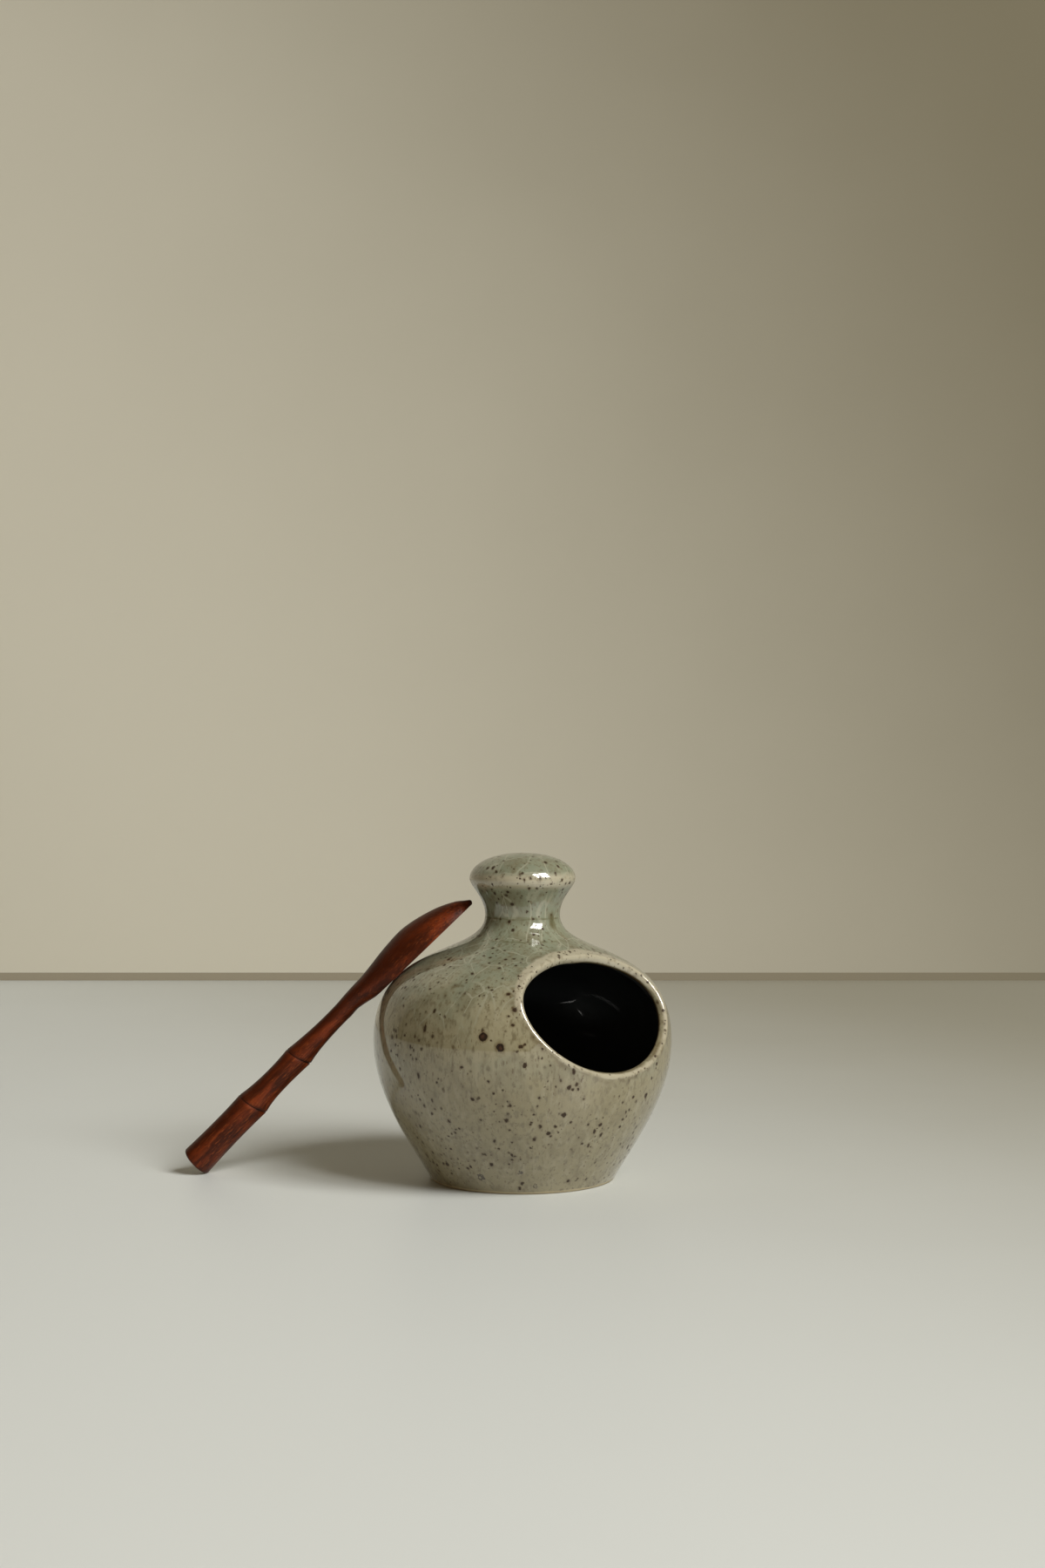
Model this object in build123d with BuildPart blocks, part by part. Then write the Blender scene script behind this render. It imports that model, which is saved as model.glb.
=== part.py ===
from build123d import *

import os
from math import atan2, cos, hypot, radians, sin, sqrt, tan

from numpy import interp

# A wheel-thrown stoneware salt pig: a round pot with a slanting mouth sliced out of its shoulder, a
# rounded lip on the cut, a hollow knob on a narrow neck, and a carved wooden salt spoon that leans
# on the shoulder. Millimetres. The origin is the middle of the pot's foot on the table, +Z is up and
# the mouth faces -Y.

# Pot: outside radii and heights, and how far each curve runs on straight before it turns
FOOT_R = 34.4
FOOT_FLARE = 30.0
FOOT_RUN = 16.6
FOOT_EDGE = 0.8
BELLY_R = 56.0
BELLY_Z = 52.0
BELLY_RUN_BELOW = 20.0
BELLY_RUN_ABOVE = 37.3
NECK_R = 14.1
NECK_RISE = 46.6
NECK_RUN_BELOW = 15.9

# Pot: clay thicknesses and the inside
WALL = 3.8
FLOOR = 6.5
FLOOR_ROUND = 8.0
NECK_BORE_R = 7.0

# Knob: a hollow cap on the neck, with a rim and a low crown
KNOB_R = 19.95
KNOB_RIM_RISE = 13.7
KNOB_CROWN_RISE = 9.5
KNOB_RUN_FROM_NECK = 6.8
KNOB_RUN_BELOW_RIM = 3.1
KNOB_RUN_ABOVE_RIM = 4.3
KNOB_CROWN_RUN = 13.5
KNOB_CROWN_WALL = 6.5

# Mouth: the slice taken off the shoulder, and the foot of the lip under its rounded edge
MOUTH_TILT = 32.0
MOUTH_BITE = 10.7
LIP_FOOT = 0.3

# Spoon: how it leans, in degrees round from +X and up from the table, and how close it comes to the pot
SPOON_HEADING = 136.6
SPOON_LEAN = 44.0
SPOON_GAP = 0.3
TIP_GAP = 5.5
TABLE_GAP = 0.3

# Spoon: the bowl, whose rim lies in one plane that faces the pot
BOWL_LENGTH = 64.5
BOWL_WIDTH = 22.0
BOWL_DEPTH = 11.5
BOWL_WALL = 2.3
SCOOP_LENGTH = 49.0
SCOOP_TIP_WALL = 3.5
TIP_R = 1.2

# Ribs of the bowl from waist to tip: share of its length, of its half width and of its depth, and the
# height of the rib's middle over the rim as a share of the depth
BOWL_RIBS = (
    (0.12, 0.44, 0.77, 0.42),
    (0.25, 0.66, 0.82, 0.30),
    (0.47, 0.95, 0.98, 0.05),
    (0.62, 1.00, 1.00, 0.00),
    (0.81, 0.79, 0.76, 0.00),
    (0.93, 0.48, 0.46, 0.00),
)

# Spoon: a round handle carved into three lengths like bamboo, with a notch at each of its two nodes.
# It reaches from the waist down to the table.
WAIST_R = 3.5
WAIST_HEIGHT = 4.8
WAIST_RUN = 12.0
HANDLE_SLOPE = 1.8
FIRST_LENGTH = 31.5
FIRST_SLIM_R = 5.6
FIRST_NODE_R = 5.85
SECOND_LENGTH = 25.0
SECOND_SLIM_R = 4.65
SECOND_NODE_R = 5.0
NOTCH_DEPTH = 0.6
NOTCH_HALF = 0.9
BUTT_R = 6.1
BUTT_EDGE = 1.0

# Heights and radii that several pieces share
NECK_Z = BELLY_Z + NECK_RISE
RIM_Z = NECK_Z + KNOB_RIM_RISE
TOP_Z = RIM_Z + KNOB_CROWN_RISE
FLARE = radians(FOOT_FLARE)
FLOOR_R = FOOT_R + FLOOR * tan(FLARE) - WALL / cos(FLARE)
FLOOR_RUN = FOOT_RUN - FLOOR

# The pot's wall in section, outside first
with BuildSketch(Plane.XZ) as wall_section:
    with BuildLine():
        lower_wall = Bezier(
            (FOOT_R, 0),
            (FOOT_R + FOOT_RUN * sin(FLARE), FOOT_RUN * cos(FLARE)),
            (BELLY_R, BELLY_Z - BELLY_RUN_BELOW),
            (BELLY_R, BELLY_Z),
        )
        upper_wall = Bezier(
            (BELLY_R, BELLY_Z),
            (BELLY_R, BELLY_Z + BELLY_RUN_ABOVE),
            (NECK_R, NECK_Z - NECK_RUN_BELOW),
            (NECK_R, NECK_Z),
        )
        Line((NECK_R, NECK_Z), (NECK_BORE_R, NECK_Z))
        Bezier(
            (NECK_BORE_R, NECK_Z),
            (NECK_BORE_R, NECK_Z - NECK_RUN_BELOW - WALL / 4),
            (BELLY_R - WALL, BELLY_Z + BELLY_RUN_ABOVE - WALL),
            (BELLY_R - WALL, BELLY_Z),
        )
        Bezier(
            (BELLY_R - WALL, BELLY_Z),
            (BELLY_R - WALL, BELLY_Z - BELLY_RUN_BELOW),
            (FLOOR_R + FLOOR_RUN * sin(FLARE), FLOOR + FLOOR_RUN * cos(FLARE)),
            (FLOOR_R, FLOOR),
        )
        Polyline((FLOOR_R, FLOOR), (0, FLOOR), (0, 0), (FOOT_R, 0))
    make_face()
    fillet(wall_section.vertices().group_by(Axis.Y)[1].sort_by(Axis.X)[-1], FLOOR_ROUND)


# Points along the outside of the wall, radius and height, close enough together to measure from
shares = [step / 200 for step in range(201)]
outline = [wall @ share for wall in (lower_wall, upper_wall) for share in shares]


def pot_reach(raised, aside=0.0):
    """How far the pot's outside reaches along a way raised from the table, on a line aside of its axis."""
    return max(sqrt(max(spot.X**2 - aside**2, 0)) * cos(raised) + spot.Y * sin(raised) for spot in outline)


def reach_in_plane(plane, turn):
    """How far the pot's outside lies from the middle of a plane, at a turn round that middle."""
    inside, outside = 0.0, 2 * BELLY_R
    while outside - inside > 1e-6:
        reach = (inside + outside) / 2
        spot = plane.from_local_coords((reach * cos(turn), reach * sin(turn), 0))
        radius = interp(spot.Z, [place.Y for place in outline], [place.X for place in outline], right=0)
        if hypot(spot.X, spot.Y) < radius:
            inside = reach
        else:
            outside = reach
    return inside


# The mouth is sliced off along a flat cut that looks forward and up. The lip stands on the cut and
# carries the wall on to a rounded edge as thick as the wall.
mouth_tilt = radians(MOUTH_TILT)
mouth_way = Vector(0, -cos(mouth_tilt), sin(mouth_tilt))
peak = max(outline, key=lambda spot: spot.X * cos(mouth_tilt) + spot.Y * sin(mouth_tilt))
mouth_middle = Vector(0, -peak.X, peak.Y) - mouth_way * MOUTH_BITE
crest_plane = Plane(origin=mouth_middle, x_dir=(1, 0, 0), z_dir=mouth_way)
lip_round = WALL / 2
lip_rise = WALL + LIP_FOOT
lip_seat = crest_plane.offset(-lip_rise)

# Pot body: one thrown shell with a flat foot, open at the mouth and into the knob
with BuildPart() as pot_body:
    revolve(wall_section.sketch, axis=Axis.Z)
    fillet(pot_body.edges().filter_by(GeomType.CIRCLE).group_by(Axis.Z)[0], FOOT_EDGE)
    split(bisect_by=lip_seat, keep=Keep.BOTTOM)
pot_body.part.label = "pot_body"

# Mouth lip: a ring of clay with a rounded edge. Its sections stand round the mouth's middle, each in
# line with the slope of the wall there, from the lowest to the highest, and are mirrored.
LIP_SECTIONS = 13
with BuildPart() as mouth_lip:
    for place in range(LIP_SECTIONS):
        turn = radians(180 * place / (LIP_SECTIONS - 1) - 90)
        foot_reach = reach_in_plane(lip_seat, turn)
        slope = atan2(lip_rise, foot_reach - reach_in_plane(crest_plane, turn))
        run = (lip_rise - lip_round + lip_round * cos(slope)) / sin(slope)
        rise_end = (run * cos(slope), run * sin(slope))
        round_middle = (rise_end[0] + lip_round * sin(slope), rise_end[1] - lip_round * cos(slope))
        tip = (round_middle[0] + lip_round * cos(slope), round_middle[1] + lip_round * sin(slope))
        round_end = (rise_end[0] + WALL * sin(slope), rise_end[1] - WALL * cos(slope))
        inward = lip_seat.x_dir * -cos(turn) - lip_seat.y_dir * sin(turn)
        lip_foot = lip_seat.origin - inward * foot_reach
        with BuildSketch(Plane(origin=lip_foot, x_dir=inward, z_dir=inward.cross(mouth_way))):
            with BuildLine():
                Line((0, 0), rise_end)
                ThreePointArc(rise_end, tip, round_end)
                Polyline(round_end, (WALL / sin(slope), 0), (0, 0))
            make_face()
    loft()
    mirror(about=Plane.YZ)
mouth_lip.part.label = "mouth_lip"

# Knob: a thrown cap seated on the neck, hollow so that it dries and fires evenly
hollow_top = TOP_Z - KNOB_CROWN_WALL
hollow_spring = hollow_top - NECK_BORE_R
with BuildPart() as knob:
    with BuildSketch(Plane.XZ):
        with BuildLine():
            Bezier(
                (NECK_R, NECK_Z),
                (NECK_R, NECK_Z + KNOB_RUN_FROM_NECK),
                (KNOB_R, RIM_Z - KNOB_RUN_BELOW_RIM),
                (KNOB_R, RIM_Z),
            )
            Bezier(
                (KNOB_R, RIM_Z),
                (KNOB_R, RIM_Z + KNOB_RUN_ABOVE_RIM),
                (KNOB_CROWN_RUN, TOP_Z),
                (0, TOP_Z),
            )
            Line((0, TOP_Z), (0, hollow_top))
            RadiusArc((0, hollow_top), (NECK_BORE_R, hollow_spring), NECK_BORE_R)
            Polyline((NECK_BORE_R, hollow_spring), (NECK_BORE_R, NECK_Z), (NECK_R, NECK_Z))
        make_face()
    revolve(axis=Axis.Z)
knob.part.label = "knob"

# The spoon's frame: X runs along the bowl's rim from the waist to the tip, Z stands square to the rim
# and points away from the pot. The rim lies a gap off the shoulder, and the tip a gap off the neck.
lean = radians(SPOON_LEAN)
heading = radians(SPOON_HEADING)
up = Vector(0, 0, 1)
outward = Vector(cos(heading), sin(heading), 0)
along_spoon = up * sin(lean) - outward * cos(lean)
off_pot = up * cos(lean) + outward * sin(lean)
rim_half = BOWL_RIBS[1][1] * BOWL_WIDTH / 2
rim_reach = pot_reach(radians(90) - lean, aside=rim_half) + SPOON_GAP
tip_run = ((rim_reach + TIP_R) * sin(lean) - NECK_R - TIP_GAP) / cos(lean)
waist_foot = off_pot * rim_reach + along_spoon * (tip_run - BOWL_LENGTH)
spoon_frame = Plane(origin=waist_foot, x_dir=along_spoon, z_dir=off_pot)

# The handle's line: from the middle of the waist down to a butt whose lowest edge stands on the table
handle_slope = radians(HANDLE_SLOPE)
handle_lean = lean + handle_slope
handle_way = along_spoon * cos(handle_slope) + off_pot * sin(handle_slope)
waist_middle = spoon_frame.from_local_coords((0, 0, WAIST_HEIGHT))
butt_rise = BUTT_EDGE + (BUTT_R - BUTT_EDGE) * cos(handle_lean) - BUTT_EDGE * sin(handle_lean)
handle_run = (waist_middle.Z - butt_rise - TABLE_GAP) / sin(handle_lean)
butt_middle = waist_middle - handle_way * handle_run
handle_frame = Plane(origin=butt_middle, x_dir=handle_way, z_dir=spoon_frame.y_dir)
handle_axis = Axis(butt_middle, handle_way)
second_node = FIRST_LENGTH + SECOND_LENGTH


def across_spoon(along, height):
    """A plane square to the bowl's rim, at a distance from the waist and a height over the rim."""
    spot = spoon_frame.from_local_coords((along, 0, height))
    return Plane(origin=spot, x_dir=spoon_frame.y_dir, z_dir=along_spoon)


# The scoop: an egg-shaped hollow, half of it inside the bowl
scoop_at = BOWL_LENGTH - SCOOP_TIP_WALL - SCOOP_LENGTH / 2
scoop_middle = spoon_frame.from_local_coords((scoop_at, 0, 0))
with BuildPart() as scoop:
    Sphere(1)
    scale(by=(SCOOP_LENGTH / 2, BOWL_WIDTH / 2 - BOWL_WALL, BOWL_DEPTH - BOWL_WALL))

# Spoon: one piece of hardwood, a scooped bowl on a handle of three lengths
with BuildPart() as spoon:
    with BuildSketch(Plane(origin=waist_middle, x_dir=spoon_frame.y_dir, z_dir=handle_way)):
        Circle(WAIST_R)
    for length_share, width_share, depth_share, middle_share in BOWL_RIBS:
        middle = middle_share * BOWL_DEPTH
        with BuildSketch(across_spoon(length_share * BOWL_LENGTH, middle)):
            Ellipse(width_share * BOWL_WIDTH / 2, depth_share * BOWL_DEPTH - middle)
    with BuildSketch(across_spoon(BOWL_LENGTH, TIP_R)):
        Circle(TIP_R)
    loft()
    split(bisect_by=spoon_frame, keep=Keep.TOP)
    with Locations(Plane(origin=scoop_middle, x_dir=along_spoon, z_dir=off_pot)):
        add(scoop.part, mode=Mode.SUBTRACT)
    with BuildSketch(handle_frame):
        with BuildLine():
            Polyline((handle_run, WAIST_R), (handle_run, 0), (0, 0), (0, BUTT_R))
            ThreePointArc(
                (0, BUTT_R),
                (FIRST_LENGTH / 2, FIRST_SLIM_R),
                (FIRST_LENGTH - NOTCH_HALF, FIRST_NODE_R),
            )
            Polyline(
                (FIRST_LENGTH - NOTCH_HALF, FIRST_NODE_R),
                (FIRST_LENGTH, FIRST_NODE_R - NOTCH_DEPTH),
                (FIRST_LENGTH + NOTCH_HALF, FIRST_NODE_R),
            )
            ThreePointArc(
                (FIRST_LENGTH + NOTCH_HALF, FIRST_NODE_R),
                (FIRST_LENGTH + SECOND_LENGTH / 2, SECOND_SLIM_R),
                (second_node - NOTCH_HALF, SECOND_NODE_R),
            )
            Polyline(
                (second_node - NOTCH_HALF, SECOND_NODE_R),
                (second_node, SECOND_NODE_R - NOTCH_DEPTH),
                (second_node + NOTCH_HALF, SECOND_NODE_R),
            )
            Bezier(
                (second_node + NOTCH_HALF, SECOND_NODE_R),
                (second_node + WAIST_RUN / 2, SECOND_NODE_R - NOTCH_DEPTH),
                (handle_run - WAIST_RUN, WAIST_R),
                (handle_run, WAIST_R),
            )
        make_face()
    revolve(axis=handle_axis)
    fillet(spoon.faces().filter_by(handle_axis).sort_by(handle_axis)[0].edges(), BUTT_EDGE)
spoon.part.label = "spoon"

os.makedirs("parts", exist_ok=True)
export_step(pot_body.part, "parts/pot_body.step")
export_step(mouth_lip.part, "parts/mouth_lip.step")
export_step(knob.part, "parts/knob.step")
export_step(spoon.part, "parts/spoon.step")
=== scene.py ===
from math import atan2, cos, copysign, pi, radians, sin, sqrt, tan

import bmesh
import bpy
from mathutils import Matrix, Vector
from mathutils.geometry import interpolate_bezier


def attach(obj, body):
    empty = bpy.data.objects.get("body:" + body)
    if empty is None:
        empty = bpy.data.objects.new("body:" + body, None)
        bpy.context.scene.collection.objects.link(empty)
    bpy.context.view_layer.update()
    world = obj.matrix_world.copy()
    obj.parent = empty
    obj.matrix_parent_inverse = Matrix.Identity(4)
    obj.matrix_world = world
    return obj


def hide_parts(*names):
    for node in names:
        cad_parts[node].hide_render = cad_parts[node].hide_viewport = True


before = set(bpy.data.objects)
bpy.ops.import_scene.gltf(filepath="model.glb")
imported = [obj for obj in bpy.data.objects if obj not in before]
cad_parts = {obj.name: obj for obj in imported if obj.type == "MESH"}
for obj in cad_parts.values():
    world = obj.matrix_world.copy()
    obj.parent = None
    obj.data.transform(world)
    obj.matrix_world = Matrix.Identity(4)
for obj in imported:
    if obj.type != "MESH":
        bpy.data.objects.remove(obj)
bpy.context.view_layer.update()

# Pot body: the stoneware shell, thrown on the wheel and trimmed at the foot. It is hollow and stands on
# its flat foot. Celadon glaze covers it over an iron-specked clay, and the inside is coloured nearly black.
# The mouth is sliced out of the shoulder before firing, along a plane that leans back.
THROWN_STEPS = 256
WELD = 1e-6
ON_PLANE = 1e-7
MOUTH_WAY = Vector((0, -0.848048, 0.529919))
MOUTH_MIDDLE = Vector((0, -0.0422965, 0.0644174))
LIP_RISE = 0.0038
seat = MOUTH_MIDDLE - MOUTH_WAY * LIP_RISE
BUFF = (0.240, 0.210, 0.118, 1)
GREY_BUFF = (0.280, 0.256, 0.162, 1)
CELADON = (0.212, 0.232, 0.160, 1)
SEA_GREEN = (0.172, 0.196, 0.136, 1)
MOTTLE = (0.138, 0.112, 0.056, 1)
PALE_RUN = (0.305, 0.28, 0.185, 1)
DARK_RUN = (0.120, 0.100, 0.054, 1)
PALE_EDGE = (0.400, 0.368, 0.268, 1)
CRACKLE = (0.32, 0.32, 0.235, 1)
BROWN = (0.095, 0.060, 0.023, 1)
IRON = (0.024, 0.010, 0.003, 1)
RUST = (0.014, 0.006, 0.003, 1)
RUST_CORE = (0.080, 0.036, 0.020, 1)
OLIVE = (0.085, 0.072, 0.024, 1)
BARE_CLAY = (0.42, 0.36, 0.24, 1)
INSIDE_NEAR_BLACK = (0.020, 0.024, 0.025, 1)
COAT_IOR = 1.78
COAT_ROUGHNESS = 0.035
BODY_IOR = 1.3
# Cells of the crackle in mm, and heights of the two lines round the neck in metres
CRACKLE_SIZE = 9
NECK_LINES = (0.0977, 0.0899)
# Heights in metres between which the glaze changes, from below to above
GREY_LEVELS = (0.036, 0.060)
GREEN_LEVELS = (0.062, 0.088)
SEA_LEVELS = (0.030, 0.060)
CRACKLE_LEVELS = (0.056, 0.078)
RIM_STARTS = (0.1082, 0.1108)
RIM_ENDS = (0.1132, 0.1156)
NECK_STARTS = (0.086, 0.094)
FOOT_EDGE = (0.0010, 0.0016)
# How far over the seat the lip turns pale, in metres, low on the wall, and how much sooner higher up
PALE_FROM = 0.0030
PALE_SOONER = 0.0015
PALE_LEVELS = (0.058, 0.086)
# How far round the lip, from 0 outside to 1 inside, the colour turns brown as painted shade, and then
# nearly black
PAINTED_SHADE_INWARD = (0.66, 0.86)
DARK_INWARD = (0.79, 0.85)
# Specks in mm: how far apart, and the least and the most radius
FINE_SPECKS = (1.25, 0.10, 0.46)
EDGE_SPECKS = (1.7, 0.16, 0.78)
SMALL_SPECKS = (2.5, 0.20, 0.88)
DRAGGED_SPECKS = (3.4, 0.24, 1.0)
LARGE_SPECKS = (9, 0.45, 1.3)
# Single marks in mm, where grit burned out of the clay: a place on the wall and a radius
RUST_SPOTS = (((-45.5, -31.6, 59.5), 1.3), ((-41.9, -36.8, 55.9), 1.4))
BURNS = (
    ((-21.2, -47.1, 31.4), 0.75), ((-24.1, -42.1, 24.4), 0.65), ((-5.6, -49.2, 26.4), 0.55),
    ((-21.6, -50.4, 41.5), 0.75), ((-18.3, -51.5, 40.6), 0.4), ((-35.8, -43.0, 49.8), 0.7),
    ((-36.7, -42.0, 56.4), 0.6), ((-49.9, -25.2, 48.5), 0.45), ((-44.2, -33.1, 43.8), 0.45),
    ((-46.4, -27.0, 37.1), 0.55), ((15.6, -50.6, 35.0), 0.75), ((-40.2, -4.9, 10.1), 0.7),
    ((-34.5, -23.2, 11.9), 0.7), ((-9.2, -36.1, 4.7), 0.55),
)
PINHOLES = (((-34.4, -16.8, 6.5), 1.5), ((-26.4, -29.6, 8.8), 0.8), ((-20.1, -30.4, 3.4), 0.8))
OLIVE_RUN = (2.5, -14.4, 38.4)


def stretch(*ends_and_handles, steps):
    """Points along one stretch of a profile, in metres, from its ends and handles in mm."""
    start, start_handle, end_handle, end = [
        Vector((radius, 0, height)) / 1000 for radius, height in ends_and_handles
    ]
    return interpolate_bezier(start, start_handle, end_handle, end, steps)


def thrown(outside, inside):
    """Two skins spun round the pot's axis, each vertex keeping how far in it lies and where it faces."""
    clay = bmesh.new()
    inward = clay.verts.layers.float.new("inward")
    facing = clay.verts.layers.float_vector.new("facing")
    for depth, profile in ((0, outside), (1, inside)):
        dots = [clay.verts.new(point) for point in profile]
        for dot in dots:
            dot[inward] = depth
        for pair in zip(dots, dots[1:]):
            clay.edges.new(pair)
    quarter = clay.verts[:] + clay.edges[:]
    bmesh.ops.spin(clay, geom=quarter, axis=(0, 0, 1), angle=pi / 2, steps=THROWN_STEPS // 4)
    quarter = clay.verts[:] + clay.edges[:] + clay.faces[:]
    bmesh.ops.spin(clay, geom=quarter, axis=(0, 0, 1), angle=3 * pi / 2, steps=3, use_duplicate=True)
    bmesh.ops.remove_doubles(clay, verts=clay.verts, dist=WELD)
    bmesh.ops.recalc_face_normals(clay, faces=clay.faces)
    hollow = [face for face in clay.faces if all(vert[inward] > 0.5 for vert in face.verts)]
    bmesh.ops.reverse_faces(clay, faces=hollow)
    clay.normal_update()
    for vert in clay.verts:
        vert[facing] = vert.normal
    return clay


def fired(clay, name, finish):
    """The finished piece of clay: smooth, facing as its vertices say, in the place of its CAD node."""
    facing = clay.verts.layers.float_vector["facing"]
    for face in clay.faces:
        face.smooth = True
    shape = bpy.data.meshes.new(name + "_clay")
    clay.to_mesh(shape)
    shape.normals_split_custom_set_from_vertices([vert[facing].normalized() for vert in clay.verts])
    shape.attributes.remove(shape.attributes["facing"])
    clay.free()
    piece = bpy.data.objects.new(name + "_glazed", shape)
    bpy.context.scene.collection.objects.link(piece)
    shape.materials.append(finish)
    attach(piece, "pot")
    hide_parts(name)


class Wash:
    """A number, a colour or a place on its way through a finish. Sums on numbers add Math nodes."""

    def __init__(self, socket):
        self.socket = socket

    def node(self, kind, settings, sockets, output=0):
        """Adds a node: its settings first, then the values or links of its sockets."""
        tree = self.socket.id_data
        made = tree.nodes.new("ShaderNode" + kind)
        for name, value in settings.items():
            setattr(made, name, value)
        for key, value in sockets.items():
            if isinstance(value, Wash):
                tree.links.new(value.socket, made.inputs[key])
            else:
                made.inputs[key].default_value = value
        return Wash(made.outputs[output])

    def worked(self, operation, first, second):
        """Adds a Math node on two numbers."""
        return self.node("Math", {"operation": operation}, {0: first, 1: second})

    def __add__(self, other):
        return self.worked("ADD", self, other)

    def __radd__(self, other):
        return self.worked("ADD", other, self)

    def __sub__(self, other):
        return self.worked("SUBTRACT", self, other)

    def __rsub__(self, other):
        return self.worked("SUBTRACT", other, self)

    def __mul__(self, other):
        return self.worked("MULTIPLY", self, other)

    def __rmul__(self, other):
        return self.worked("MULTIPLY", other, self)

    def __truediv__(self, other):
        return self.worked("DIVIDE", self, other)

    def __pow__(self, other):
        return self.worked("POWER", self, other)


def rises(value, start, end):
    """0 up to start, 1 from end on, and smooth between."""
    ends = {"Value": value, "From Min": start, "From Max": end}
    return value.node("MapRange", {"interpolation_type": "SMOOTHSTEP"}, ends)


def tinted(share, under, over):
    """The colour under, covered by the colour over as far as the share says."""
    return share.node("Mix", {"data_type": "RGBA"}, {0: share, 6: under, 7: over}, 2)


def clouds(place, size, detail=2.0):
    """Soft cloudy shares from 0 to 1, with clouds of about that size in mm."""
    return place.node("TexNoise", {}, {"Vector": place, "Scale": 1000 / size, "Detail": detail})


def stirred(place, size, reach):
    """The place, pushed about by up to reach mm in swirls of about that size in mm."""
    swirl = place.node("TexNoise", {}, {"Vector": place, "Scale": 1000 / size}, "Color")
    push = swirl.node("VectorMath", {"operation": "SUBTRACT"}, {0: swirl, 1: (0.5, 0.5, 0.5)})
    sockets = {0: push, 1: (reach / 500,) * 3, 2: place}
    return push.node("VectorMath", {"operation": "MULTIPLY_ADD"}, sockets)


def specks(place, spacing, least, most, soft=0.5):
    """Specks about that spacing apart in mm, of radii in mm from least to most, small ones commonest."""
    cells = place.node("TexVoronoi", {}, {"Vector": place, "Scale": 1000 / spacing})
    chance = cells.node("SeparateColor", {}, {0: Wash(cells.socket.node.outputs["Color"])})
    size = (least + (most - least) * chance ** 2) / spacing
    return 1 - rises(cells, size * (1 - soft), size)


def near(place, spot, reach, soft):
    """1 within reach mm of a spot given in mm, fading to 0 over the soft mm beyond."""
    centre = tuple(value / 1000 for value in spot)
    away = place.node("VectorMath", {"operation": "DISTANCE"}, {0: place, 1: centre}, "Value")
    return 1 - rises(away, reach / 1000, (reach + soft) / 1000)


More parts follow.
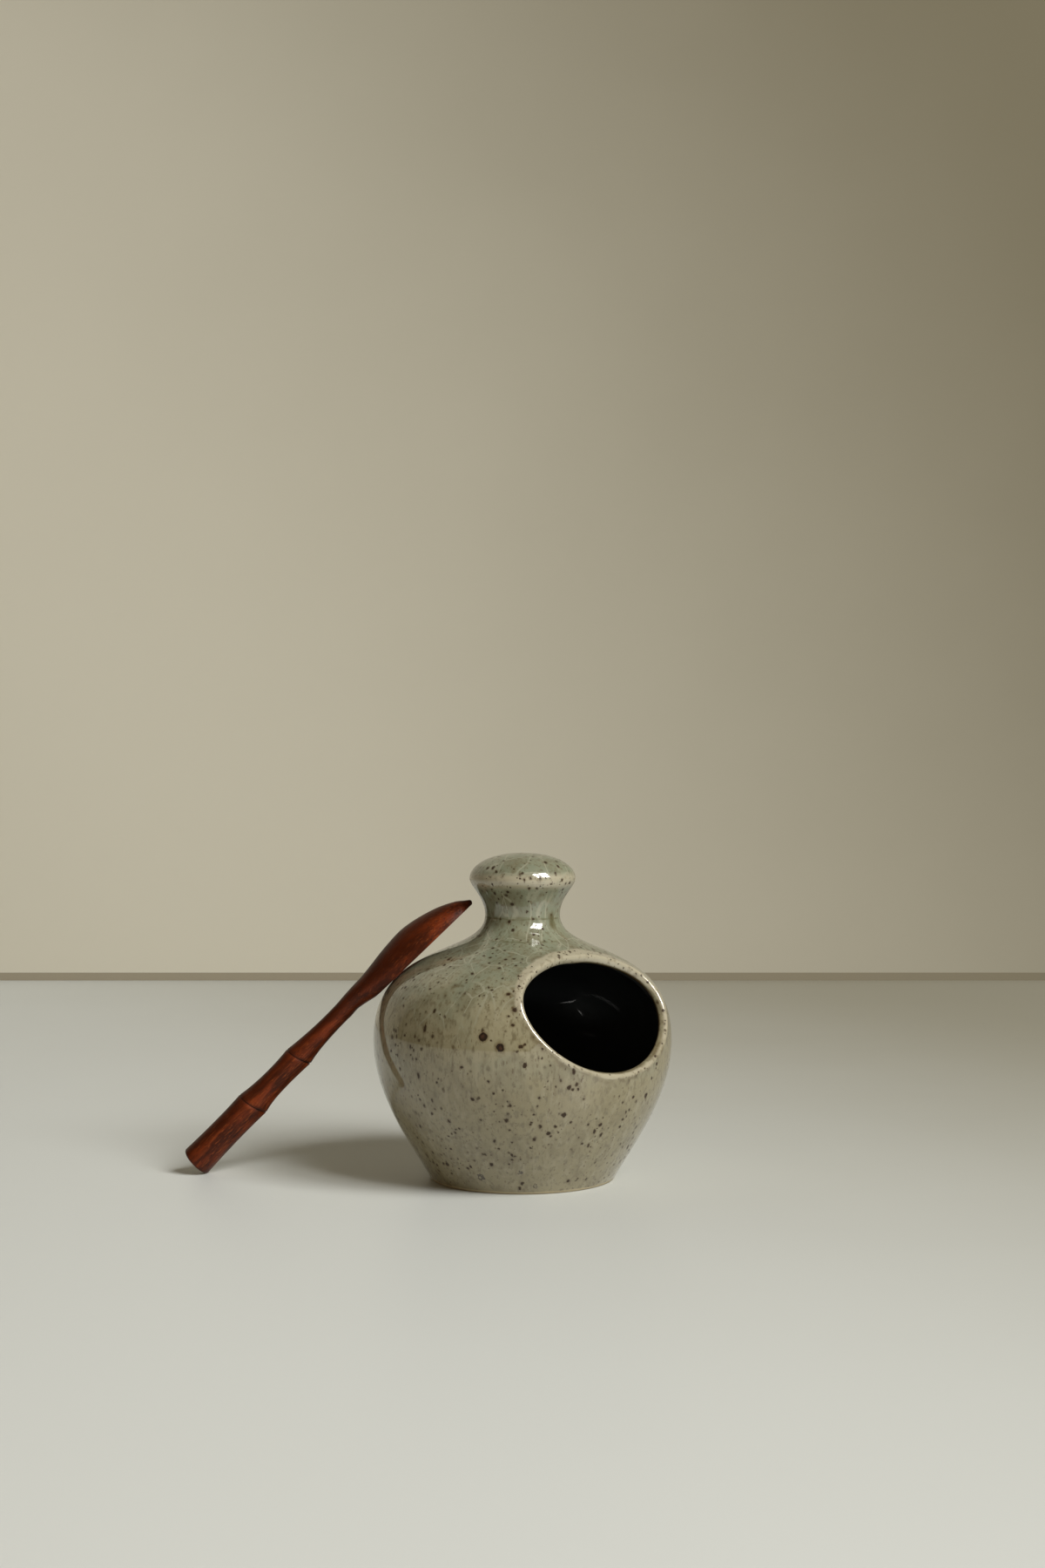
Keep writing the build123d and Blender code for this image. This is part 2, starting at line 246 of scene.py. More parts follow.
def glazed(name):
    """The pot's glaze. It turns pale on an edge, where it runs thin, and dark inside."""
    finish = bpy.data.materials.new(name)
    finish.use_nodes = True
    nodes = finish.node_tree.nodes
    place = Wash(nodes.new("ShaderNodeTexCoord").outputs["Object"])
    height = place.node("SeparateXYZ", {}, {0: place}, "Z")
    inward = place.node("Attribute", {"attribute_name": "inward"}, {}, "Fac")
    runs = place.node("Mapping", {}, {"Vector": place, "Scale": (1, 1, 0.4)})

    # Ground colour: buff low on the belly, greyer at its widest, green on the shoulder and neck
    level = height + (clouds(place, 30, 3) - 0.5) * 0.04 + (clouds(place, 9, 4) - 0.5) * 0.03
    green = rises(level, *GREEN_LEVELS)
    ground = tinted(rises(level, *GREY_LEVELS), BUFF, GREY_BUFF)
    ground = tinted(green, ground, CELADON)
    mottle = clouds(stirred(place, 8, 3), 9, 5)
    sea = rises(clouds(place, 15, 3), 0.48, 0.66) * rises(height, *SEA_LEVELS)
    ground = tinted(sea * 0.4, ground, SEA_GREEN)
    ground = tinted(rises(mottle, 0.42, 0.72) * 0.5, ground, MOTTLE)
    ground = tinted(rises(clouds(stirred(place, 3, 1), 3.4, 4), 0.52, 0.74) * 0.5, ground, MOTTLE)
    pale_runs = rises(clouds(runs, 3.2, 4), 0.48, 0.74) * (1 - green * 0.6)
    ground = tinted(pale_runs * 0.55, ground, PALE_RUN)
    ground = tinted(rises(clouds(runs, 1.3, 4), 0.50, 0.70) * 0.6, ground, DARK_RUN)

    # Pale band on the knob's rim, and the pale lip with a brown line where it starts
    rim = rises(height, *RIM_STARTS) * (1 - rises(height, *RIM_ENDS))
    sockets = {0: place, 1: MOUTH_WAY}
    over_seat = place.node("VectorMath", {"operation": "DOT_PRODUCT"}, sockets, "Value")
    thin_from = PALE_FROM - PALE_SOONER * rises(height, *PALE_LEVELS)
    over = over_seat - seat.dot(MOUTH_WAY) + (mottle - 0.5) * 0.0016 - thin_from
    below_neck = 1 - rises(height, *NECK_STARTS)
    edge = rises(over, 0, 0.0007) * below_neck
    start = rises(over, -0.0012, -0.0001) * (1 - rises(over, 0, 0.0009)) * below_neck
    ground = tinted(rim * (0.85 + 0.15 * mottle), ground, PALE_EDGE)
    ground = tinted(edge * (0.8 + 0.2 * mottle), ground, PALE_EDGE)
    stained = rises(clouds(stirred(place, 2, 1), 2.4, 3), 0.52, 0.70)
    ground = tinted((edge + rim) * stained * 0.4, ground, MOTTLE)
    ground = tinted(start * rises(clouds(place, 4), 0.40, 0.62) * 0.5, ground, BROWN)

    # Crackle: fine pale curved lines in the thick glaze
    cracked = stirred(stirred(runs, 30, 8), 7, 0.8)
    sockets = {"Vector": cracked, "Scale": 1000 / CRACKLE_SIZE}
    lines = place.node("TexVoronoi", {"feature": "DISTANCE_TO_EDGE"}, sockets)
    crackle = (1 - rises(lines, 0.010, 0.038)) * rises(clouds(place, 13), 0.34, 0.52)
    crackle = crackle * rises(level, *CRACKLE_LEVELS) * (1 - edge)
    ground = tinted(crackle * 0.65, ground, CRACKLE)

    # Iron specks that burn through from the clay: fine ones drawn down the wall, and larger ones, each
    # in a brown stain
    grit = stirred(stirred(place, 1.4, 0.5), 0.5, 0.25)
    dragged = grit.node("Mapping", {}, {"Vector": grit, "Scale": (1, 1, 0.55)})
    fine = specks(stirred(runs, 1.2, 0.3), *FINE_SPECKS) * rises(clouds(place, 14), 0.28, 0.54)
    strewn = rises(clouds(place, 20), 0.34, 0.50)
    ground = tinted(fine * 0.65, ground, BROWN)
    iron = specks(grit, *EDGE_SPECKS) * rises(edge + rim, 0.25, 0.75)
    ground = tinted(iron * 0.92, ground, IRON)
    kinds = ((grit, SMALL_SPECKS), (dragged, DRAGGED_SPECKS), (grit, LARGE_SPECKS))
    for soil, (spacing, least, most) in kinds:
        stain = specks(soil, spacing, least + 0.15, most * 1.7, 0.8) * strewn
        speck = specks(soil, spacing, least, most) * strewn
        ground = tinted(stain * 0.45, ground, BROWN)
        ground = tinted(speck * 0.92, ground, IRON)
        iron = iron + speck

    # Single marks: rusty spots with a lighter core, burned-out grit, pinholes, an olive run on the neck
    rough = stirred(stirred(place, 3, 0.7), 0.9, 0.35)
    for spot, radius in RUST_SPOTS:
        ground = tinted(near(rough, spot, radius, 1.2) * 0.55, ground, BROWN)
        ground = tinted(near(rough, spot, radius, 0.3) * 0.96, ground, RUST)
        ground = tinted(near(rough, spot, radius * 0.2, radius * 0.45) * 0.6, ground, RUST_CORE)
    for spot, radius in BURNS:
        ground = tinted(near(grit, spot, radius, 0.9) * 0.5, ground, BROWN)
        burn = near(grit, spot, radius, 0.25)
        ground = tinted(burn * 0.92, ground, IRON)
        iron = iron + burn
    pitted = stirred(stirred(place, 2.4, 1.5), 0.8, 0.8)
    for spot, radius in PINHOLES:
        ring = near(pitted, spot, radius, 0.25) - near(pitted, spot, radius * 0.4, 0.25)
        ground = tinted(ring * 0.85, ground, IRON)
    neck_run = rough.node("Mapping", {}, {"Vector": rough, "Scale": (1, 1, 0.4)})
    ground = tinted(near(neck_run, OLIVE_RUN, 0.8, 1.6) * 0.75, ground, OLIVE)

    # Two faint lines round the neck, left by the thrower's finger
    for neck_line in NECK_LINES:
        wavy = height + (clouds(place, 12) - 0.5) * 0.0012 - neck_line
        line = 1 - rises(wavy.node("Math", {"operation": "ABSOLUTE"}, {0: wavy}), 0.0001, 0.0005)
        ground = tinted(line * rises(clouds(place, 5), 0.42, 0.62) * 0.55, ground, OLIVE)

    # Over the crest the colour turns brown, painted shade on the lip's inner side, then nearly black inside
    ground = tinted(rises(inward + mottle * 0.16, *PAINTED_SHADE_INWARD), ground, BROWN)
    ground = tinted(rises(inward, *DARK_INWARD), ground, INSIDE_NEAR_BLACK)

    # Bare clay at the very edge of the foot
    foot = 1 - rises(height + mottle * 0.0006, *FOOT_EDGE)
    ground = tinted(foot * (1 - rises(inward, 0.4, 0.6)), ground, BARE_CLAY)

    # Surface: throwing rings, a slight wobble and orange peel
    rings = place.node("Mapping", {}, {"Vector": place, "Scale": (0.12, 0.12, 1.0)})
    relief = clouds(rings, 7, 1) * 0.00016 + clouds(place, 18, 1) * 0.00022
    relief = relief + clouds(place, 1.5, 2) * (1 - inward) * 0.000012
    bump = relief.node("Bump", {}, {"Strength": 1.0, "Distance": 1.0, "Height": relief})
    rough_share = 0.4 + 0.2 * mottle + 0.3 * foot

    # Clear gloss over it all, except where the iron comes through, on bare clay, and thinner inside
    gloss = (1 - 0.85 * rises(iron, 0.1, 0.9)) * (1 - foot) * (1 - 0.3 * rises(inward, 0.8, 0.9))

    links = finish.node_tree.links
    inputs = nodes["Principled BSDF"].inputs
    links.new(ground.socket, inputs["Base Color"])
    links.new(rough_share.socket, inputs["Roughness"])
    links.new(bump.socket, inputs["Normal"])
    links.new(gloss.socket, inputs["Coat Weight"])
    inputs["Coat IOR"].default_value = COAT_IOR
    inputs["Coat Roughness"].default_value = COAT_ROUGHNESS
    inputs["IOR"].default_value = BODY_IOR
    return finish


celadon_glaze = glazed("celadon_glaze")
outside = [Vector((0, 0, 0)), Vector((0.017, 0, 0))]
outside += stretch((33.5, 0), (34.2, 0), (34.5, 0.2), (34.92, 0.9), steps=8)
outside += stretch((34.92, 0.9), (42.9, 14.8), (55.98, 32), (55.98, 52), steps=64)[1:]
outside += stretch((55.98, 52), (55.98, 89.3), (14.1, 82.7), (14.1, 98.6), steps=84)[1:]
inside = [Vector((0, 0, 0.0065)), Vector((0.014, 0, 0.0065))]
inside += stretch((27, 6.5), (32, 6.5), (34, 7.2), (36, 10.4), steps=8)
inside += stretch((36, 10.4), (41, 19.2), (52.2, 36), (52.2, 52), steps=40)[1:]
inside += stretch((52.2, 52), (52.2, 85.5), (7, 81.75), (7, 98.6), steps=60)[1:]
shell = thrown(outside, inside)
everything = shell.verts[:] + shell.edges[:] + shell.faces[:]
sliced = bmesh.ops.bisect_plane(
    shell, geom=everything, dist=ON_PLANE, plane_co=seat, plane_no=MOUTH_WAY, clear_outer=True
)
mouth_edges = [part for part in sliced["geom_cut"] if isinstance(part, bmesh.types.BMEdge)]
lip = shell.copy()
bmesh.ops.bridge_loops(shell, edges=mouth_edges)
neck_edges = [edge for edge in shell.edges if edge.is_boundary]
bmesh.ops.bridge_loops(shell, edges=neck_edges)
fired(shell, "pot_body", celadon_glaze)

# Mouth lip: a flattened roll of clay along the slice, pressed on with slip and smoothed with a wet
# finger, so that the shoulder runs up into it without a crease. The glaze breaks to cream on its crest.
LIP_ROUND = 0.0018
LIP_SQUARENESS = 2.7
LIP_TUCK = 0.0003
ROLL_STEPS = 20


def grown(mesh, ring):
    """One more ring, drawn out of the last ring's edges: its vertices and its edges."""
    made = bmesh.ops.extrude_edge_only(mesh, edges=ring)["geom"]
    dots = [part for part in made if isinstance(part, bmesh.types.BMVert)]
    return dots, [part for part in made if isinstance(part, bmesh.types.BMEdge)]


def squared(share):
    """A cosine or sine, made fuller towards the corners of a rounded square."""
    return copysign(abs(share) ** (2 / LIP_SQUARENESS), share)


lip_glaze = glazed("lip_glaze")
inward = lip.verts.layers.float["inward"]
facing = lip.verts.layers.float_vector["facing"]
off_cut = [
    vert
    for vert in lip.verts
    if vert[inward] > 0.5 or abs((vert.co - seat).dot(MOUTH_WAY)) > 2 * ON_PLANE
]
bmesh.ops.delete(lip, geom=off_cut, context="VERTS")
foot = lip.verts.layers.float_vector.new("foot")
wall = lip.verts.layers.float_vector.new("wall")
for vert in lip.verts:
    vert[foot] = vert.co
    vert[wall] = vert[facing].normalized()
first_ring = lip.edges[:]
ring = first_ring
rolled = [("up", share) for share in (0.25, 0.5, 0.75, 1)]
rolled += [("over", step / ROLL_STEPS) for step in range(1, ROLL_STEPS + 1)]
rolled += [("down", share) for share in (0.5, 1)]
flat = LIP_SQUARENESS - 1
for index, (way, share) in enumerate(rolled):
    dots, ring = grown(lip, ring)
    for vert in dots:
        climb = vert[wall].dot(MOUTH_WAY)
        away = (vert[wall] - MOUTH_WAY * climb).normalized()
        lean = atan2(sqrt(1 - climb * climb), climb)
        up = -away * cos(lean) + MOUTH_WAY * sin(lean)
        crest_rise = (LIP_RISE - LIP_ROUND + LIP_ROUND * cos(lean)) / sin(lean)
        seat_rise = 2 * LIP_ROUND / tan(lean)
        rise, turn = {
            "up": (crest_rise * share, 0),
            "over": (crest_rise, pi * share),
            "down": (crest_rise + (seat_rise - crest_rise) * share, pi),
        }[way]
        tuck = LIP_TUCK * min(1, rise / crest_rise) ** 2
        middle = vert[foot] + up * rise - vert[wall] * (LIP_ROUND + tuck)
        out, over = squared(cos(turn)), squared(sin(turn))
        vert.co = middle + (vert[wall] * out + up * over) * LIP_ROUND
        vert[facing] = vert[wall] * copysign(abs(out) ** flat, out) + up * over ** flat
        vert[inward] = (index + 1) / len(rolled)
bmesh.ops.bridge_loops(lip, edges=first_ring + ring)
bmesh.ops.recalc_face_normals(lip, faces=lip.faces)
lip.verts.layers.float_vector.remove(lip.verts.layers.float_vector["foot"])
lip.verts.layers.float_vector.remove(lip.verts.layers.float_vector["wall"])
fired(lip, "mouth_lip", lip_glaze)

# Knob: a mushroom-shaped cap, thrown apart and seated on the neck with slip, hollow so that it dries and
# fires evenly. It is in the same glaze, which thins to a pale band along the rim.
outside = stretch((14.1, 98.6), (14.1, 105.4), (19.95, 109.2), (19.95, 112.3), steps=32)
outside += stretch((19.95, 112.3), (19.95, 116.6), (13.5, 121.8), (0, 121.8), steps=40)[1:]
inside = [Vector((0.007, 0, 0.0986))]
inside += stretch((7, 108.3), (7, 112.17), (3.87, 115.3), (0, 115.3), steps=16)
cap = thrown(outside, inside)
seat_edges = [edge for edge in cap.edges if edge.is_boundary]
bmesh.ops.bridge_loops(cap, edges=seat_edges)
fired(cap, "knob", celadon_glaze)

# Spoon: carved from one stick of dark red-brown hardwood and oiled. A round handle is cut into three
# lengths like bamboo, with a notch at each node, and runs into a scooped bowl whose rim faces the pot.
# It is loose: its butt stands on the table and the rim leans on the shoulder.
GRAIN_STEPS = 96
HEADING = radians(136.6)
LEAN = radians(44)
HANDLE_SLOPE = radians(1.8)
# The handle and the rim, in metres: nodes are at distances from the butt
WAIST = Vector((-0.0473464, 0.0447733, 0.0577935))
HANDLE_RUN = 0.079658
WAIST_HEIGHT = 0.0048
NODES = (0.0315, 0.0565)
NODE_RADII = (0.00582, 0.00496)
NOTCH = 0.0006
NOTCH_EVEN = 0.85
NOTCH_UNDER = 0.5
NODE_SLANT = 0.0014
NODE_REACH = 0.008
BOWL_FROM = 0.002
RIM_SOFTNESS = 0.0004
# Heights over the rim, in metres, between which painted shade darkens the bowl's back
SHADED_BACK_LEVELS = (0.0035, 0.0075)
# The bowl, in mm: its tip and its scoop at distances from the waist, and the stretch of its soft heel
RIB_STEP = 0.75
RIB_COUNT = 86
TIP_START = 64.6
TIP_ROUND = 0.7
TIP_REACH = 0.28
TIP_HEIGHT = 1.15
TIP_SHARES = (0, 0.35, 0.7, 0.95)
SCOOP_MIDDLE = 40.3
SCOOP_HALF = Vector((20.2, 8.7, 9.2))
SCOOP_TILTS = (0, 5, 12, 20, 30, 40, 50, 60, 70, 80, 87)
HEEL = (0, 6, 10, 19)
HEEL_SOFTNESS = 0.8
WOOD = (0.165, 0.028, 0.006, 1)
WOOD_DARK = (0.046, 0.0085, 0.002, 1)
WOOD_LIGHT = (0.29, 0.066, 0.014, 1)
PORE = (0.016, 0.005, 0.0025, 1)
WOOD_SHEEN = 0.2
# Ribs of the bowl in mm: distance from the waist, half width, half depth and height of the middle
RIBS = (
    (0, 3.5, 3.5, 4.8),
    (7.74, 4.84, 4.03, 4.83),
    (16.13, 7.26, 5.98, 3.45),
    (30.3, 10.45, 10.7, 0.575),
    (40.0, 11.0, 11.5, 0),
    (52.2, 8.69, 8.74, 0),
    (60.0, 5.28, 5.29, 0),
    (63.6, 1.75, 1.75, 0.85),
    (64.6, 0.7, 0.7, 1.15),
)

along = Vector((0, 0, 1)) * sin(LEAN) - Vector((cos(HEADING), sin(HEADING), 0)) * cos(LEAN)
off_pot = Vector((0, 0, 1)) * cos(LEAN) + Vector((cos(HEADING), sin(HEADING), 0)) * sin(LEAN)
aside = off_pot.cross(along)
stick = Matrix((along, aside, off_pot)).transposed().to_4x4()
stick.translation = WAIST


def handle_spot(station, cut, out):
    """Where the handle's skin is, from a station's radius and distance, a notch's depth and a way out."""
    back = HANDLE_RUN - station.z
    spot = Vector((-back * cos(HANDLE_SLOPE), 0, WAIST_HEIGHT - back * sin(HANDLE_SLOPE)))
    node_near = max(0, 1 - min(abs(station.z - node) for node in NODES) / NODE_REACH)
    spot.x -= NODE_SLANT * node_near * out.z
    return spot + out * (station.x - cut * (NOTCH_EVEN - NOTCH_UNDER * out.z))


def eased(share):
    """0 up to 0, 1 from 1 on, and smooth between."""
    share = min(max(share, 0), 1)
    return share * share * (3 - 2 * share)


def bowl_spot(distance, out):
    """Where the bowl's outside is, at a distance from the waist in mm, on a smooth run through the ribs."""
    last = len(RIBS) - 1
    number = max(index for index in range(last) if RIBS[index][0] <= distance)
    around = [min(max(number + step, 0), last) for step in (-1, 0, 1, 2)]
    before, start, end, after = [Vector(RIBS[index]) for index in around]
    span = end[0] - start[0]
    share = (distance - start[0]) / span
    value = start.lerp(end, eased(share))
    value += (end - before) / (end[0] - before[0]) * (span * share * (1 - share) ** 2)
    value -= (after - start) / (after[0] - start[0]) * (span * share * share * (1 - share))
    half_width, half_depth, middle = value.yzw
    rise = middle + out.z * half_depth
    heel_start, heel_full, heel_fading, heel_end = HEEL
    soft = HEEL_SOFTNESS * eased((distance - heel_start) / (heel_full - heel_start))
    soft *= 1 - eased((distance - heel_fading) / (heel_end - heel_fading))
    if soft > 0:
        rise = (rise + sqrt(rise * rise + 4 * soft * soft)) / 2
    return Vector((distance, out.y * half_width, rise)) / 1000


def tip_spot(share, out):
    """Where the tip's rounded end is, from 0 at its start to 1 at its very end."""
    radius = TIP_ROUND * sqrt(1 - share * share)
    return Vector((TIP_START + TIP_REACH * share, out.y * radius, TIP_HEIGHT + out.z * radius)) / 1000


butt = stretch((5.1, 0), (5.6, 0), (6.1, 0.5), (6.1, 1), steps=6)
lengths = (
    [Vector((0.0018, 0, 0)), Vector((0.0036, 0, 0))]
    + butt
    + stretch((6.1, 1), (5.7, 9), (5.45, 20), (5.84, 31.1), steps=16)[1:],
    stretch((5.78, 31.9), (4.7, 36.5), (4.25, 45), (4.98, 56.1), steps=16),
    stretch((4.93, 56.9), (4.1, 62), (3.4, 70), (3.51, 78.9), steps=16),
)
sections = [(handle_spot, (station, 0)) for station in lengths[0]]
for node, radius, length in zip(NODES, NODE_RADII, lengths[1:]):
    sections.append((handle_spot, (Vector((radius, 0, node)), NOTCH)))
    sections += [(handle_spot, (station, 0)) for station in length]
sections += [(bowl_spot, (RIB_STEP * number,)) for number in range(RIB_COUNT)]
sections += [(tip_spot, (share,)) for share in TIP_SHARES]

wood = bmesh.new()
turn = wood.verts.layers.float.new("turn")
notch = wood.verts.layers.float.new("notch")
dots = bmesh.ops.create_circle(wood, cap_ends=True, segments=GRAIN_STEPS, radius=1)["verts"]
for index, vert in enumerate(dots):
    vert[turn] = 2 * pi * index / GRAIN_STEPS
ring = wood.edges[:]
for index, (place_of, station) in enumerate(sections):
    if index > 0:
        dots, ring = grown(wood, ring)
    for vert in dots:
        out = Vector((0, cos(vert[turn]), sin(vert[turn])))
        vert.co = place_of(*station, out)
        vert[notch] = place_of == handle_spot and station[1] > 0
bmesh.ops.contextual_create(wood, geom=ring)
bowl_verts = [vert for vert in wood.verts if vert.co.x > BOWL_FROM]
bowl_edges = [edge for edge in wood.edges if min(vert.co.x for vert in edge.verts) > BOWL_FROM]
bowl_faces = [face for face in wood.faces if min(vert.co.x for vert in face.verts) > BOWL_FROM]
bmesh.ops.bisect_plane(
    wood,
    geom=bowl_verts + bowl_edges + bowl_faces,
    dist=ON_PLANE,
    plane_co=(0, 0, 0),
    plane_no=(0, 0, -1),
    clear_outer=True,
)
rim = [edge for edge in wood.edges if edge.is_boundary]
ring = rim
scoop_edge = []
for tilt in SCOOP_TILTS:
    dots, ring = grown(wood, ring)
    scoop_edge = scoop_edge or ring
    for vert in dots:
        bearing = atan2(
            vert.co.y * 1000 / SCOOP_HALF.y, (vert.co.x * 1000 - SCOOP_MIDDLE) / SCOOP_HALF.x
        )
        spread = cos(radians(tilt))
        vert.co.x = (SCOOP_MIDDLE + SCOOP_HALF.x * spread * cos(bearing)) / 1000
        vert.co.y = SCOOP_HALF.y * spread * sin(bearing) / 1000
        vert.co.z = SCOOP_HALF.z * sin(radians(tilt)) / 1000
bmesh.ops.contextual_create(wood, geom=ring)
bmesh.ops.recalc_face_normals(wood, faces=wood.faces)
bmesh.ops.bevel(
    wood,
    geom=rim + scoop_edge,
    offset=RIM_SOFTNESS,
    segments=3,
    profile=0.5,
    affect="EDGES",
    material=-1,
    clamp_overlap=True,
)
wood.verts.layers.float.remove(wood.verts.layers.float["turn"])
bmesh.ops.transform(wood, matrix=stick, verts=wood.verts)
for face in wood.faces:
    face.smooth = True
carved = bpy.data.meshes.new("spoon_carved")
wood.to_mesh(carved)
wood.free()
spoon = bpy.data.objects.new("spoon_carved", carved)
bpy.context.scene.collection.objects.link(spoon)

oiled_wood = bpy.data.materials.new("oiled_hardwood")
oiled_wood.use_nodes = True
nodes = oiled_wood.node_tree.nodes
place = Wash(nodes.new("ShaderNodeTexCoord").outputs["Object"])
turned = Matrix((along, aside, off_pot)).to_euler()
lengthwise = place.node("Mapping", {}, {"Vector": place, "Rotation": tuple(turned)})
fibre = lengthwise.node("Mapping", {}, {"Vector": lengthwise, "Scale": (0.10, 1, 1)})
dashes = lengthwise.node("Mapping", {}, {"Vector": lengthwise, "Scale": (0.22, 1, 1)})
figure = clouds(stirred(dashes, 9, 2.0), 3.2, 3)
streaks = clouds(fibre, 0.7, 3)
pores = rises(clouds(dashes, 0.42, 2), 0.58, 0.70)
flecks = rises(clouds(dashes, 0.6, 2), 0.56, 0.72)
patches = clouds(lengthwise, 16, 2)
colour = tinted(rises(figure, 0.35, 0.72), WOOD_DARK, WOOD)
colour = tinted(rises(streaks, 0.52, 0.78) * 0.5, colour, WOOD_LIGHT)
colour = tinted(flecks * 0.45, colour, WOOD_LIGHT)
colour = tinted(rises(patches, 0.5, 0.75) * 0.45, colour, WOOD_DARK)
colour = tinted(pores * 0.6, colour, PORE)
# Painted shade: the bowl's back, above its rim, is darkened towards the dark wood colour, where less light
# falls on it
over_rim = lengthwise.node("SeparateXYZ", {}, {0: lengthwise}, "Z") - off_pot.dot(WAIST)
painted_shade_on_back = rises(over_rim + (patches - 0.5) * 0.003, *SHADED_BACK_LEVELS)
colour = tinted(painted_shade_on_back * 0.8, colour, WOOD_DARK)
# Painted shade: the notches' grooves are darkened towards the pore colour
notch_painted_shade = place.node("Attribute", {"attribute_name": "notch"}, {}, "Fac")
colour = tinted(rises(notch_painted_shade, 0.2, 0.9) * 0.85, colour, PORE)
relief = streaks * 0.00004 + figure * 0.0001 - pores * 0.00004
bump = relief.node("Bump", {}, {"Strength": 1.0, "Distance": 1.0, "Height": relief})
roughness = 0.34 + 0.16 * streaks
links = oiled_wood.node_tree.links
inputs = nodes["Principled BSDF"].inputs
links.new(colour.socket, inputs["Base Color"])
links.new(roughness.socket, inputs["Roughness"])
links.new(bump.socket, inputs["Normal"])
inputs["Specular IOR Level"].default_value = WOOD_SHEEN
carved.materials.append(oiled_wood)
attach(spoon, "spoon")
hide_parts("spoon")

# Table and wall: a pale table top, and a warm wall that stands behind it across the view. Both carry
# painted shade: they are painted paler towards the left and darker towards the right, the wall also darker
# higher up and the table also darker towards the back, where less light falls. A thin dark strip along
# the wall's foot is painted shadow. All are painted only on the face towards the pot, so that from behind
# the wall doesn't hide it.
VIEW_TURN = radians(-40.6)
WALL_BEHIND = 0.703
WALL_HEIGHT = 1.8
STAGE_WIDTH = 4.0
TABLE_LENGTH = 3.2
# A thin dark strip along the wall's foot is painted shadow, for the shaded gap behind the table's end
GAP_SHADOW_HEIGHT = 0.0055
GAP_SHADOW_PROUD = 0.001
# Table and wall colours, each shading off towards a painted shade
TABLE_COLOUR = (0.65, 0.685, 0.675, 1)
TABLE_PAINTED_SHADE = (0.31, 0.30, 0.24, 1)
WALL_COLOUR = (0.585, 0.566, 0.475, 1)
WALL_PAINTED_SHADE = (0.145, 0.129, 0.080, 1)
GAP_SHADOW_COLOUR = (0.30, 0.27, 0.20, 1)
TABLE_ROUGHNESS = 0.45
WALL_ROUGHNESS = 0.8
TABLE_FADE = (-0.2, 0.6)
WALL_FADE = (-0.27, 0.82)
FADE_BACK = 0.5
FADE_UP = 0.65
backward = Vector((-sin(VIEW_TURN), cos(VIEW_TURN), 0))
rightward = Vector((cos(VIEW_TURN), sin(VIEW_TURN), 0))


def paint_with_painted_shade(name, colour, shade, way, fade, roughness):
    """Paint on one face that shades off from colour to a painted shade along a way, over a fade of two
    distances.
    """
    finish = bpy.data.materials.new(name)
    finish.use_nodes = True
    nodes = finish.node_tree.nodes
    place = Wash(nodes.new("ShaderNodeTexCoord").outputs["Object"])
    run = place.node("VectorMath", {"operation": "DOT_PRODUCT"}, {0: place, 1: way}, "Value")
    paint = tinted(rises(run + (clouds(place, 150, 3) - 0.5) * 0.06, *fade), colour, shade)
    links = finish.node_tree.links
    inputs = nodes["Principled BSDF"].inputs
    links.new(paint.socket, inputs["Base Color"])
    inputs["Roughness"].default_value = roughness
    back = place.node("NewGeometry", {}, {}, "Backfacing")
    clear = place.node("BsdfTransparent", {}, {})
    front = Wash(nodes["Principled BSDF"].outputs[0])
    one_sided = place.node("MixShader", {}, {0: back, 1: front, 2: clear})
    links.new(one_sided.socket, nodes["Material Output"].inputs["Surface"])
    return finish


def stage_sheet(name, stands, width, length, finish):
    """One flat sheet of the set."""
    sheet = bmesh.new()
    bmesh.ops.create_grid(sheet, x_segments=1, y_segments=1, size=0.5)
    bmesh.ops.transform(sheet, matrix=stands @ Matrix.Diagonal((width, length, 1, 1)), verts=sheet.verts)
    shape = bpy.data.meshes.new(name)
    sheet.to_mesh(shape)
    sheet.free()
    shape.materials.append(finish)
    made = bpy.data.objects.new(name, shape)
    bpy.context.scene.collection.objects.link(made)


across = Matrix.Rotation(VIEW_TURN, 4, "Z")
upright = Matrix.Rotation(radians(90), 4, "X")
table_way = rightward + backward * FADE_BACK
wall_way = rightward + Vector((0, 0, FADE_UP))
shaded_table_paint = paint_with_painted_shade("shaded_table_paint", TABLE_COLOUR, TABLE_PAINTED_SHADE, table_way, TABLE_FADE, TABLE_ROUGHNESS)
shaded_wall_paint = paint_with_painted_shade("shaded_wall_paint", WALL_COLOUR, WALL_PAINTED_SHADE, wall_way, WALL_FADE, WALL_ROUGHNESS)
gap_shadow_paint = paint_with_painted_shade("gap_shadow_paint", GAP_SHADOW_COLOUR, WALL_PAINTED_SHADE, wall_way, WALL_FADE, WALL_ROUGHNESS)
table_stands = across @ Matrix.Translation((0, WALL_BEHIND - TABLE_LENGTH / 2, 0))
wall_stands = across @ Matrix.Translation((0, WALL_BEHIND, WALL_HEIGHT / 2)) @ upright
gap_shadow_stands = across @ Matrix.Translation((0, WALL_BEHIND - GAP_SHADOW_PROUD, GAP_SHADOW_HEIGHT / 2)) @ upright
stage_sheet("table_top", table_stands, STAGE_WIDTH, TABLE_LENGTH, shaded_table_paint)
stage_sheet("back_wall", wall_stands, STAGE_WIDTH, WALL_HEIGHT, shaded_wall_paint)
stage_sheet("painted_gap_shadow", gap_shadow_stands, STAGE_WIDTH, GAP_SHADOW_HEIGHT, gap_shadow_paint)

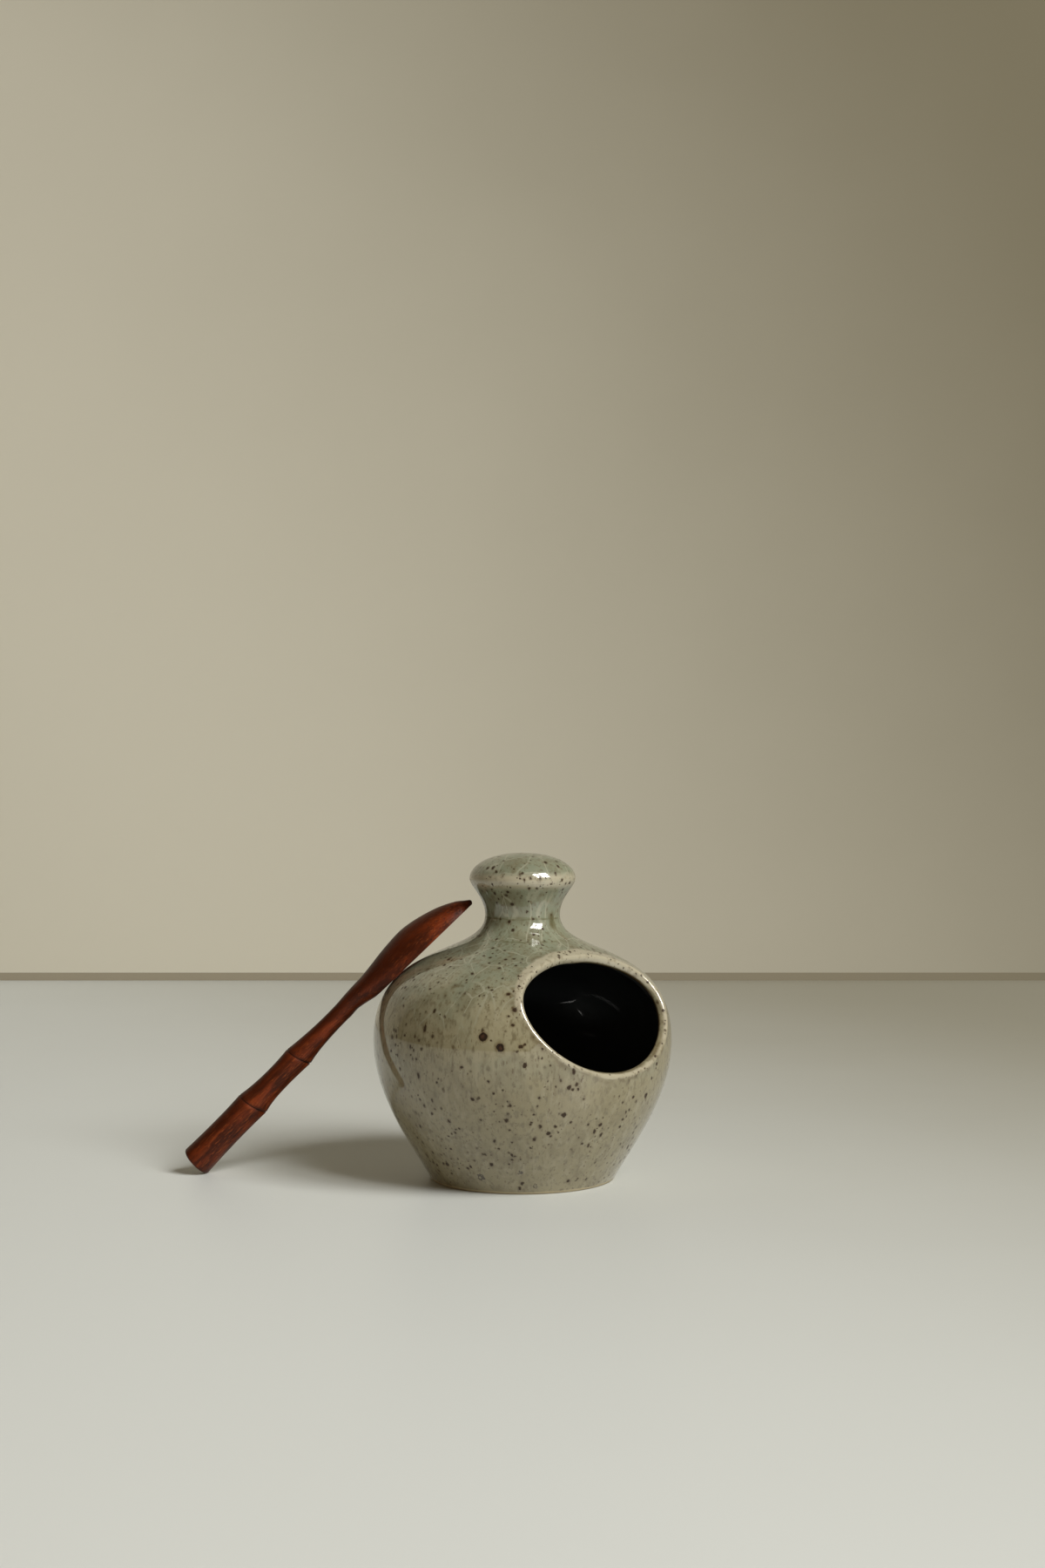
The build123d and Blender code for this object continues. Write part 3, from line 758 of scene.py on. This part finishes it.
# Light: one large soft window of four panes, from the right and front, in a dim warm room. The bars
# show in the glaze's highlights. A weak warm lamp on the left stands for a pale card that gives back
# some of that light, and has no mirror image.
WINDOW_WAY = Vector((0.12, -0.75, 0.67)).normalized()
WINDOW_AWAY = 2.8
WINDOW_POWER = 101
PANE_COLUMNS = ((-0.46, 0.44), (0.27, 0.84))
PANE_ROWS = ((-0.37, 0.62), (0.37, 0.62))
WINDOW_COLOUR = (1.0, 0.97, 0.92)
ROOM_COLOUR = (1.0, 0.60, 0.30, 1)
ROOM_LEVEL = 0.028
CARD_WAY = Vector((-0.93, -0.32, 0.17)).normalized()
CARD_AWAY = 1.5
CARD_WIDTH = 2.2
CARD_TALL = 0.9
CARD_POWER = 3.6
CARD_COLOUR = (1.0, 0.72, 0.40)
window_turn = WINDOW_WAY.to_track_quat("Z", "Y")
glass_area = sum(width for _, width in PANE_COLUMNS) * sum(tall for _, tall in PANE_ROWS)
for column, (sideways, width) in enumerate(PANE_COLUMNS):
    for row, (upwards, tall) in enumerate(PANE_ROWS):
        pane = bpy.data.lights.new(f"window_pane_{column}_{row}", "AREA")
        pane.shape = "RECTANGLE"
        pane.size = width
        pane.size_y = tall
        pane.energy = WINDOW_POWER * width * tall / glass_area
        pane.color = WINDOW_COLOUR
        lamp = bpy.data.objects.new(pane.name, pane)
        lamp.rotation_mode = "QUATERNION"
        lamp.rotation_quaternion = window_turn
        lamp.location = WINDOW_WAY * WINDOW_AWAY + window_turn @ Vector((sideways, upwards, 0))
        bpy.context.scene.collection.objects.link(lamp)
card = bpy.data.lights.new("pale_card", "AREA")
card.shape = "RECTANGLE"
card.size = CARD_WIDTH
card.size_y = CARD_TALL
card.energy = CARD_POWER
card.color = CARD_COLOUR
stand = bpy.data.objects.new("pale_card", card)
stand.rotation_mode = "QUATERNION"
stand.rotation_quaternion = CARD_WAY.to_track_quat("Z", "Y")
stand.location = CARD_WAY * CARD_AWAY
stand.visible_glossy = False
bpy.context.scene.collection.objects.link(stand)
room = bpy.data.worlds.new("room")
room.use_nodes = True
room.node_tree.nodes["Background"].inputs["Color"].default_value = ROOM_COLOUR
room.node_tree.nodes["Background"].inputs["Strength"].default_value = ROOM_LEVEL
bpy.context.scene.world = room

# Camera: a lens of about 50 mm at the photograph's place, in front of the pot and a little above it.
# It looks very slightly down.
SENSOR_HEIGHT = 36
FOCAL_LENGTH = 50.7
CAMERA_PLACE = (-0.53907, -0.62893, 0.16075)
CAMERA_TILT = radians(89.089)
lens = bpy.data.cameras.new("camera")
lens.sensor_fit = "VERTICAL"
lens.sensor_height = SENSOR_HEIGHT
lens.lens = FOCAL_LENGTH
camera = bpy.data.objects.new("camera", lens)
camera.location = CAMERA_PLACE
camera.rotation_euler = (CAMERA_TILT, 0, VIEW_TURN)
bpy.context.scene.collection.objects.link(camera)
bpy.context.scene.camera = camera
bpy.context.scene.view_settings.view_transform = "Standard"
